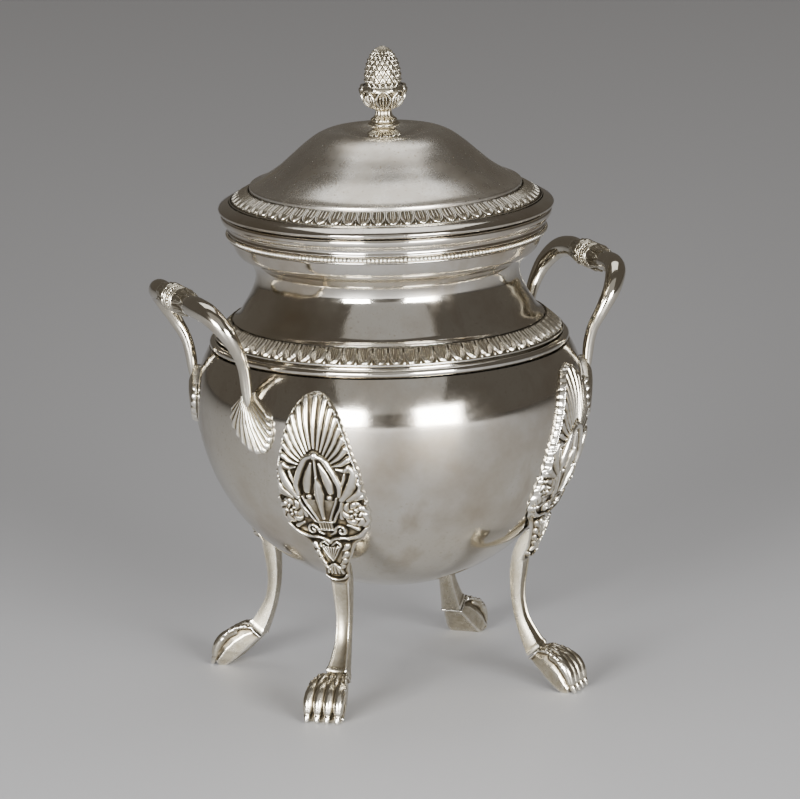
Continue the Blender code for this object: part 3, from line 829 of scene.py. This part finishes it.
def add_paw_block(shell):
    """The plain body of the paw, lofted through its sections."""
    rings = []
    for inner, outer, half in PAW_SECTIONS:
        (ri, zi), (ro, zo) = inner, outer
        corners = [(ri, -0.82 * half, zi), (ri, 0.82 * half, zi)]
        low = (0.45 * ri + 0.55 * ro, 0.45 * zi + 0.55 * zo)
        corners += [(low[0], half, low[1]), (ro - 0.25, 0.84 * half, zo), (ro, 0.45 * half, zo + 0.25)]
        corners += [(ro, -0.45 * half, zo + 0.25), (ro - 0.25, -0.84 * half, zo), (low[0], -half, low[1])]
        rings.append([shell.verts.new(corner) for corner in corners])
    for ring, following in zip(rings, rings[1:]):
        for k in range(len(ring)):
            after = (k + 1) % len(ring)
            shell.faces.new((ring[k], ring[after], following[after], following[k]))
    shell.faces.new(rings[0][::-1])
    shell.faces.new(rings[-1])


def add_toe(shell, offset):
    """A long knuckle that runs over the front of the paw, and the claw under it."""
    for line in (TOE_LINE, CLAW_LINE):
        spread = [0.80 + 0.20 * smooth_step(r, 51.0, 57.0) for r, _, _ in line]
        points = [(r, offset * share, z) for (r, z, _), share in zip(line, spread)]
        add_bar(shell, points, [size for _, _, size in line], 0.4)


def add_fur(shell):
    """Tufts of small round curls on the top of the paw, between its ribs."""
    random = np.random.default_rng(7)
    top = [outer for _, outer, _ in PAW_SECTIONS]
    for field in (-1.0, 0.0, 1.0):
        for step in range(9):
            r = 48.2 + 0.78 * step
            z = float(np.interp(r, [point[0] for point in top], [point[1] for point in top]))
            centre = field * (3.05 + 0.21 * step)
            spread = 0.85 + 0.03 * step
            for column in (-1.0, 0.0, 1.0):
                size = random.uniform(0.42, 0.60)
                shift = random.uniform(-0.18, 0.18, 3)
                place = (r + shift[0] + 0.39 * (column == 0.0), centre + column * spread + shift[1],
                         z + 0.35 + shift[2])
                add_lump(shell, place, (size * 1.15, size * 0.85, size), 30)


def paw_mesh():
    """A lion's paw: one surface drawn over its block, toes, claws, ribs and curls of fur."""
    shell = bmesh.new()
    add_paw_block(shell)
    for offset in TOE_OFFSETS:
        add_toe(shell, offset)
    for side in RIB_OFFSETS:
        for line, radii in PAW_LINES:
            add_bar(shell, [(r, side * y, z) for r, y, z in line], radii)
    add_bar(shell, ((46.8, -3.1, 12.1), (47.1, 0.0, 12.5), (46.8, 3.1, 12.1)), (0.45, 0.5, 0.45))
    add_fur(shell)
    lump = bpy.data.meshes.new("paw_lump")
    shell.to_mesh(lump)
    shell.free()
    helper = bpy.data.objects.new("paw_lump", lump)
    bpy.context.scene.collection.objects.link(helper)
    remesh = helper.modifiers.new("skin", "REMESH")
    remesh.mode = "VOXEL"
    remesh.voxel_size = PAW_VOXEL
    smooth = helper.modifiers.new("smooth", "SMOOTH")
    smooth.factor = 0.5
    smooth.iterations = 2
    graph = bpy.context.evaluated_depsgraph_get()
    mesh = bpy.data.meshes.new_from_object(helper.evaluated_get(graph))
    mesh.name = "leg_paw_skin"
    bpy.data.objects.remove(helper)
    points = read_rows(mesh.vertices, "co", 3)
    points[:, 2] = np.maximum(points[:, 2], 0.0)
    mesh.vertices.foreach_set("co", (points * MM).ravel())
    mesh.update()
    mesh.shade_smooth()
    return with_relief(mesh, 8, 1.9, 40, 0.5)


PLAQUE_TOP = 99.6
# Half outline of the leg's plaque (height, half width) from its top down, and how far its tail
# stands out from the bulb where it becomes the face of the shank (height, lift).
PLAQUE_OUTLINE = ((PLAQUE_TOP, 0.9), (98.6, 3.2), (96.5, 5.3), (93.0, 7.6), (89.0, 9.3), (81.0, 11.6),
                  (75.5, 13.2), (71.0, 13.6), (66.5, 14.1), (61.0, 13.9), (57.0, 12.3), (54.4, 10.0),
                  (52.4, 7.6), (49.5, 6.2), (45.5, 4.3), (41.0, 3.4), (39.0, 2.6), (38.2, 1.6))
PLAQUE_LIFT = ((58.0, 0.0), (53.0, 0.7), (50.0, 2.4), (45.5, 5.0), (41.0, 8.3), (38.2, 11.0))
FLUTES = 8              # flutes on each side of the palmette's middle one

# Where each flute of the palmette starts and ends, from the middle one outwards (sideways, height).
FLUTE_STARTS = ((0.0, 83.4), (1.5, 83.0), (3.0, 81.5), (4.6, 80.0), (5.6, 78.4), (6.5, 77.2))
FLUTE_ENDS = ((0.0, 98.3), (2.4, 98.0), (4.6, 95.9), (6.7, 92.9), (8.1, 89.6), (9.2, 86.4), (9.9, 83.1),
              (10.5, 79.8), (10.9, 77.2))


def palmette(x, z):
    """Round-ended flutes that fan out behind the arch, each with a knob at its end."""
    starts = resampled(smooth_curve(FLUTE_STARTS), FLUTES + 1)
    ends = resampled(smooth_curve(FLUTE_ENDS), FLUTES + 1)
    height = 0.0
    for k in range(FLUTES + 1):
        run = ends[k] - starts[k]
        bend = np.array([run[1], -run[0]]) * 0.09 * k / FLUTES
        middle = starts[k] + 0.5 * run + bend
        bar, place = stroke(x, z, (starts[k], middle, ends[k]), (0.40, 0.82, 1.20))
        knob = disc(x, z, ends[k][0], ends[k][1], 1.05)
        height = highest(height, bar * (0.66 + 0.24 * place), knob * (0.55 + 0.5 * k / FLUTES))
    return height


def outline_rope(x, z):
    """A fine twisted rope along the edge of the palmette."""
    outline = smooth_curve([(half - 0.3, level) for level, half in PLAQUE_OUTLINE[1:7]], 8)
    bar, place = stroke(x, z, outline[::3], (0.42, 0.42))
    twist = np.abs(np.sin(place * math.pi * 40))
    return bar * (0.55 + 0.25 * twist)


# The plain bars of the plaque's ornament: how high each stands, its points (sideways, height), and
# its half widths along them.
ARCH_BARS = (
    (1.2, ((0.6, 81.0), (2.7, 80.2), (4.5, 77.5), (5.95, 74.4), (6.9, 71.4), (6.5, 68.6)),
     (0.9, 1.0, 1.05, 1.0, 0.75)),
    (0.85, ((0.0, 79.9), (0.0, 73.6)), (0.42, 0.55)),
    (0.72, ((1.3, 78.6), (2.4, 75.6), (3.4, 72.2), (3.75, 69.9)), (0.45, 1.15, 1.45, 1.1)),
)
LANCE_POINTS = ((0.0, 74.2), (0.0, 71.4), (0.0, 68.6), (0.0, 65.0), (0.0, 61.0))
LANCE_WIDTHS = (0.3, 1.3, 1.65, 1.1, 0.6)
VASE_BARS = (
    (0.85, ((5.4, 67.9), (4.6, 65.8), (3.65, 64.0), (1.95, 60.4)), (0.42, 0.45, 0.45, 0.4)),
    (0.85, ((6.6, 66.4), (5.7, 64.2), (4.6, 62.6), (2.9, 59.7)), (0.42, 0.45, 0.45, 0.4)),
    (0.9, ((-2.5, 59.7), (2.5, 59.7)), (0.42, 0.42)),
    (0.8, ((-2.5, 57.0), (2.5, 57.0)), (0.4, 0.4)),
    (1.0, ((1.2, 55.6), (2.4, 56.2), (3.0, 57.6), (4.2, 58.4), (5.5, 57.8), (5.7, 56.4), (4.6, 55.8),
           (3.9, 56.6), (4.4, 57.2)), (0.45, 0.5, 0.5, 0.5, 0.45, 0.4)),
)
LEAF_BARS = (
    (1.15, ((6.9, 67.4), (8.6, 69.2), (10.3, 71.6), (11.2, 74.0), (11.5, 76.2), (10.5, 77.9), (9.3, 77.0)),
     (0.9, 1.45, 1.6, 1.4, 1.1, 0.9, 0.7)),
    (0.95, ((8.8, 67.3), (10.8, 68.5), (12.6, 70.0), (13.2, 71.8), (12.5, 72.8)), (0.8, 1.2, 1.2, 1.0, 0.7)),
    (0.9, ((12.9, 73.6), (13.5, 74.6), (13.0, 75.6), (12.4, 75.0)), (0.6, 0.7, 0.6, 0.5)),
    (0.65, ((7.5, 71.8), (8.4, 74.0), (8.8, 75.6)), (0.4, 0.6, 0.4)),
    (0.7, ((9.2, 67.0), (13.4, 68.6)), (0.5, 0.75)),
    (0.7, ((6.8, 66.8), (6.4, 64.2)), (0.5, 0.75)),
    (0.7, ((6.2, 64.2), (5.6, 61.4)), (0.5, 0.75)),
    (0.7, ((7.0, 59.0), (9.6, 57.6)), (0.5, 0.75)),
    (0.7, ((11.8, 58.8), (13.6, 60.6)), (0.5, 0.75)),
)
FOOT_BARS = (
    (1.0, ((12.4, 58.0), (11.2, 56.6), (9.2, 55.2), (6.4, 54.4), (3.3, 54.3), (1.2, 53.7), (0.0, 52.7)),
     (0.55, 0.7, 0.75, 0.65, 0.6, 0.6, 0.7)),
    (0.9, ((0.7, 51.9), (2.0, 52.9), (3.1, 52.2), (2.9, 51.2), (2.2, 51.5)), (0.35, 0.45, 0.45, 0.4)),
    (0.7, ((0.0, 46.6), (1.4, 48.6), (2.9, 51.4)), (0.3, 0.36, 0.36)),
    (0.95, ((3.3, 41.9), (2.4, 40.9), (0.0, 40.2)), (0.42, 0.42, 0.45)),
)
HUSKS = ((5.2, 51.6, 1.2), (4.6, 49.1, 1.15), (3.8, 46.9, 1.05), (2.9, 45.0, 0.9))  # place and size
ROSETTE_PLACE = (10.2, 62.8)


def bars(x, z, table):
    """The highest of several plain bars at each point."""
    return highest(*(height * stroke(x, z, points, widths)[0] for height, points, widths in table))


def arch(x, z):
    """The bold arch in the middle, with a lance leaf, two broad lobes and two pearls in it."""
    lance = stroke(x, z, LANCE_POINTS, LANCE_WIDTHS)[0]
    vein = 0.22 * ridge(x, 0.25) * (lance > 0.1)
    return highest(bars(x, z, ARCH_BARS), 0.95 * lance + vein, 1.4 * disc(x, z, 0, 81.1, 1.55),
                   disc(x, z, 3.2, 67.9, 0.95))


def vase(x, z):
    """The double-lined cup under the arch, its reeded collar, and its foot with two scrolls."""
    body = 0.35 * smooth_step(5.9 - x, 0, 0.4) * (z > 60) * (z < 67) * (x < 1.95 + 0.5 * (z - 60.4))
    collar = 0.55 * (x < 2.1) * (z < 59.4) * (z > 57.2)
    return highest(bars(x, z, VASE_BARS), body, collar * (0.6 + 0.4 * np.abs(np.cos(x * 3.6))))


def side_leaves(x, z):
    """Acanthus leaves and fronds that curl outwards beside the arch, with knobs on their backs."""
    knobs = highest(disc(x, z, 12.5, 77.2, 0.75), disc(x, z, 13.9, 66.6, 0.6))
    return highest(bars(x, z, LEAF_BARS), 0.9 * knobs)


def plaque_rosette(x, z):
    """A flower with two rings of swirling petals round a button."""
    dx, dz = x - ROSETTE_PLACE[0], z - ROSETTE_PLACE[1]
    distance = np.hypot(dx, dz)
    angle = np.arctan2(dz, dx)
    swirl = np.abs(np.sin((angle + 0.22 * distance) * 3.5))
    outer = ridge(distance - 3.0, 1.35) * (0.35 + 0.65 * swirl**0.7) * (distance < 3.75 + 0.5 * swirl)
    middle = 1.1 * ridge(distance - 1.5, 0.8) * np.abs(np.sin((angle - 0.35 * distance) * 2.5))**0.7
    return highest(0.95 * outer, middle, 1.25 * ridge(distance, 0.75))


def lower_mouldings(x, z):
    """The brace-shaped moulding, the small palmette under it, and the leaves of the tail."""
    table = list(FOOT_BARS)
    for cx, cz, size in HUSKS:
        table.append((0.9, ((cx - 1.5, cz - 1.3), (cx - 0.4, cz - 0.4), (cx, cz + 0.3)),
                      (0.3 * size, 0.75 * size, 0.85 * size)))
    for lean in (0.0, 0.9, 1.8):
        table.append((0.75, ((0.1 * lean, 47.4), (0.6 * lean, 49.4), (lean, 51.0)), (0.2, 0.3, 0.42)))
    for lean in (0.0, 1.1, 2.2):
        table.append((0.85, ((0.2 * lean, 45.6), (0.8 * lean, 44.2), (1.05 * lean, 42.6)), (0.3, 0.55, 0.5)))
    return bars(x, z, table)


def plaque_mesh():
    """The relief plaque that covers the joint of leg and bulb, with a scalloped edge."""
    rows, columns = 420, 191
    outline = smooth_curve(PLAQUE_OUTLINE, 24)
    z = np.linspace(outline[0, 0], outline[-1, 0], rows)[:, None]
    half = np.interp(-z, -outline[:, 0], outline[:, 1])
    above = smooth_step(z, 73.0, 76.0)
    scallop = np.abs(np.sin((PLAQUE_TOP - z) * math.pi / 2.15))
    half = half + above * 0.25 * scallop + (1 - above) * 0.25 * np.sin(z * 2.1) * smooth_step(z, 52, 56)
    u = np.linspace(-1, 1, columns)
    x = half * u
    side, level = np.abs(x), z * np.ones(columns)
    relief = highest(*(ornament(side, level) for ornament in (
        palmette, outline_rope, arch, vase, side_leaves, plaque_rosette, lower_mouldings)))
    edge = np.sqrt(1 - (1 - np.clip((1 - np.abs(u)) * half / 0.7, 0, 1))**2)
    ends = smooth_step(PLAQUE_TOP - z, 0, 0.9)
    lift = np.interp(-z, [-level for level, _ in PLAQUE_LIFT], [out for _, out in PLAQUE_LIFT])
    front = on_bulb(x, z, 0.35 + lift + (0.55 + 1.25 * relief) * edge * np.maximum(ends, 0.15))
    back = on_bulb(x, z, (0.1 + lift) * np.ones(columns))
    return with_relief(plate_mesh("leg_plaque_skin", front, back, 70), 16, 1.1, 160, 0.7)


LEG_TURNS = {"front_left": 225.0, "front_right": 315.0, "rear_right": 45.0, "rear_left": 135.0}


def add_legs():
    plaque, shank, paw = plaque_mesh(), shank_mesh(), paw_mesh()
    for place, turn in LEG_TURNS.items():
        for part, mesh in (("plaque_", plaque), ("shank_", shank), ("paw_", paw)):
            add_piece(part + place, mesh, "leg_" + part + place, "bowl", CAST, turn)


# ---------------------------------------------------------------- finial

CONE_PROFILE = ((5.0, 180.4), (5.35, 182.0), (5.4, 183.2), (5.1, 185.4), (4.35, 188.0), (3.1, 190.2),
                (1.7, 191.6), (0.6, 192.2))
CONE_SCALES = 16
CONE_ROWS = 4.6


def cone_height(share, rise, radius, level):
    """Tall pointed scales set in crossing spirals, worn smooth at the tip."""
    rows = CONE_ROWS * (rise + 0.25 * rise**2) / 1.25
    near = 1 - np.abs(2 * ((share * CONE_SCALES + rows) % 1) - 1)
    far = 1 - np.abs(2 * ((share * CONE_SCALES - rows) % 1) - 1)
    groove = smooth_step(np.minimum(near, far), 0.0, 0.22)
    keel = smooth_step(near * far, 0.35, 1.0)
    wear = 1 - smooth_step(rise, 0.80, 0.95)
    height = (0.42 * groove + 0.30 * keel - 0.40) * (0.12 + 0.88 * wear)
    return height * smooth_step(rise, 0.0, 0.02)


CALYX_PROFILE = ((3.1, 174.3), (4.5, 174.95), (5.75, 176.4), (6.35, 178.2), (6.5, 179.6), (6.1, 180.3),
                 (5.5, 180.55))
CALYX_LOBES = 8


def calyx_height(share, rise, radius, level):
    """Rimmed lobes with a centre rib, and a knob between each two."""
    girth = TURN * np.maximum(radius, 1.0) / CALYX_LOBES / 2
    across = np.abs((share * CALYX_LOBES) % 1 - 0.5) * 2 * girth
    width = girth * np.clip(1 - np.clip((rise - 0.38) / 0.44, 0, 1)**2.2, 0, 1)**0.5
    width = width * (0.60 + 0.38 * smooth_step(rise, 0.05, 0.45))
    rim = ridge(width - across - 0.28, 0.40) * (rise < 0.84)
    rib = ridge(across, 0.30) * (rise < 0.66)
    side_rib = ridge(across - 0.42 * width, 0.20) * (rise < 0.60)
    back_row = 0.45 * smooth_step(rise, 0.72, 0.78) * (1 - smooth_step(rise, 0.92, 0.98))
    knob = ridge(np.hypot(girth - across, (rise - 0.84) * 10.0), 0.85)
    height = highest(0.75 * rim, 0.55 * rib, 0.40 * side_rib, back_row, 0.95 * knob)
    return height * smooth_step(rise, 0.0, 0.05) * (1 - smooth_step(rise, 0.97, 1.0))


STEM_PROFILE = ((4.3, 168.4), (4.7, 168.75), (4.75, 169.15), (4.35, 169.5), (3.85, 169.75), (3.7, 170.2),
                (3.0, 170.7), (2.45, 171.3), (2.1, 172.3), (2.15, 173.2), (2.75, 173.85), (3.1, 174.25))
STEM_FLUTES = 10


def stem_height(share, rise, radius, level):
    """Flutes above the round disc that the stem stands on."""
    flute = ridge(np.abs((share * STEM_FLUTES) % 1 - 0.5) * 2, 0.95)
    return 0.34 * flute * smooth_step(level, 169.7, 170.4)


ROSETTE_PROFILE = ((4.5, 165.45), (4.7, 165.8), (4.2, 166.3), (3.5, 167.0), (3.2, 167.7), (3.5, 168.15),
                   (3.9, 168.4))
ROSETTE_PETALS = 10


def rosette_height(share, rise, radius, level):
    """A skirt of drooping petals, with a knob between each two, under a collar."""
    petal = np.abs((share * ROSETTE_PETALS) % 1 - 0.5) * 2
    foot = 1 - smooth_step(rise, 0.50, 0.66)
    outline = ridge(petal - 0.66, 0.24)
    rib = 0.8 * ridge(petal, 0.2)
    knob = ridge(np.hypot((1 - petal) * 1.4, (rise - 0.14) * 6.0), 0.55)
    collar = 0.22 * ridge(petal, 0.8) * smooth_step(rise, 0.66, 0.74)
    height = highest(0.42 * outline * foot, 0.42 * rib * foot, 0.55 * knob, collar)
    return height * smooth_step(rise, 0.0, 0.03)


def add_finial():
    for name, side, rows, columns, ends, height_of, relief in (
            ("pinecone", smooth_curve(CONE_PROFILE, 10), 150, 352, (180.4, 192.25), cone_height, (10, 2.4)),
            ("calyx", smooth_curve(CALYX_PROFILE), 110, 352, (174.3, 180.55), calyx_height,
             (10, 2.0, 50, 0.7)),
            ("stem", smooth_curve(STEM_PROFILE), 90, 240, (168.4, 174.25), stem_height, (14, 1.8)),
            ("rosette", smooth_curve(ROSETTE_PROFILE), 70, 340, (165.45, 168.4), rosette_height, (10, 2.4))):
        mesh = chased_mesh(name + "_skin", side, rows, columns, ends, height_of)
        add_piece(name, with_relief(mesh, *relief), "finial_" + name, "lid", CAST)


# ---------------------------------------------------------------- studio and camera

CAMERA_AZIMUTH = math.radians(-22.22)
CAMERA_ELEVATION = math.radians(12.12)
CAMERA_ROLL = math.radians(-1.448)
CAMERA_DISTANCE = 2000.0
CAMERA_LENS = 301.56
AIM_SIDE = 2.7
AIM_HEIGHT = 85.1
CAMERA_BEARING = CAMERA_AZIMUTH - math.pi / 2
LIGHT_AIM = np.array([0, 0, 0.09])      # metres
FLOOR_RADIUS = 7.0                      # metres
# Soft lights: name, bearing from the camera's and elevation in degrees, distance, width and height in
# metres, and watts.
SOFTBOXES = (("softbox_left", -27, 7, 1.1, 0.42, 0.34, 26), ("softbox_right", 27, 7, 1.1, 0.48, 0.40, 26),
             ("front_wall", 0, 38, 3.0, 3.4, 2.8, 11), ("top_fill", 180, 75, 2.6, 2.2, 1.6, 22))


def unit(vector):
    return vector / np.linalg.norm(vector)


def direction(bearing, elevation):
    """A unit vector; the bearing is measured from +X towards +Y."""
    level = math.cos(elevation)
    return np.array([math.cos(bearing) * level, math.sin(bearing) * level, math.sin(elevation)])


def placed_object(name, data, columns):
    """An object in the scene; columns are its three axes and its place in metres."""
    thing = bpy.data.objects.new(name, data)
    matrix = Matrix.Identity(4)
    for k, column in enumerate(columns):
        matrix.col[k][:3] = column.tolist()
    thing.matrix_world = matrix
    bpy.context.scene.collection.objects.link(thing)
    return thing


def add_camera():
    away = direction(CAMERA_BEARING, CAMERA_ELEVATION)
    place = away * CAMERA_DISTANCE + [0, 0, AXIS_HEIGHT]
    aim = np.array([AIM_SIDE * math.cos(CAMERA_AZIMUTH), AIM_SIDE * math.sin(CAMERA_AZIMUTH), AIM_HEIGHT])
    forward = unit(aim - place)
    level = unit(np.cross(forward, [0, 0, 1]))
    up = np.cross(level, forward)
    right = math.cos(CAMERA_ROLL) * level + math.sin(CAMERA_ROLL) * up
    up = np.cross(right, forward)
    data = bpy.data.cameras.new("photo_camera")
    data.lens = CAMERA_LENS
    data.sensor_width = 36.0
    data.clip_start = 0.05
    data.clip_end = 50.0
    bpy.context.scene.camera = placed_object("photo_camera", data, (right, up, -forward, place * MM))


def add_softbox(name, bearing, elevation, distance, width, height, power):
    """A soft light that faces the bowl."""
    data = bpy.data.lights.new(name, "AREA")
    data.shape = "RECTANGLE"
    data.size = width
    data.size_y = height
    data.energy = power
    away = direction(CAMERA_BEARING + math.radians(bearing), math.radians(elevation))
    side = unit(np.cross([0, 0, 1], away))
    columns = (side, np.cross(away, side), away, away * distance + LIGHT_AIM)
    placed_object(name, data, columns).visible_camera = False


def add_studio():
    bpy.ops.mesh.primitive_circle_add(vertices=96, radius=FLOOR_RADIUS, fill_type="NGON")
    floor = bpy.context.object
    floor.name = "studio_floor"
    material = bpy.data.materials.new("studio_floor")
    material.use_nodes = True
    surface = material.node_tree.nodes["Principled BSDF"]
    surface.inputs["Base Color"].default_value = (0.43, 0.43, 0.44, 1)
    surface.inputs["Roughness"].default_value = 0.55
    floor.data.materials.append(material)
    for softbox in SOFTBOXES:
        add_softbox(*softbox)
    world = bpy.data.worlds.new("studio")
    bpy.context.scene.world = world
    world.use_nodes = True
    background = world.node_tree.nodes["Background"]
    background.inputs["Color"].default_value = (0.125, 0.113, 0.098, 1)
    background.inputs["Strength"].default_value = 1.0


FASTENERS = ("finial_stud", "finial_washer", "finial_nut")


def carry_over_finishes():
    """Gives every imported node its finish; the fasteners are the ones that stay in view."""
    for name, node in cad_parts.items():
        node.data.materials.clear()
        node.data.materials.append(FASTENER if name in FASTENERS else CAST)


add_turned_parts()
add_legs()
add_handles()
add_finial()
add_camera()
add_studio()
carry_over_finishes()
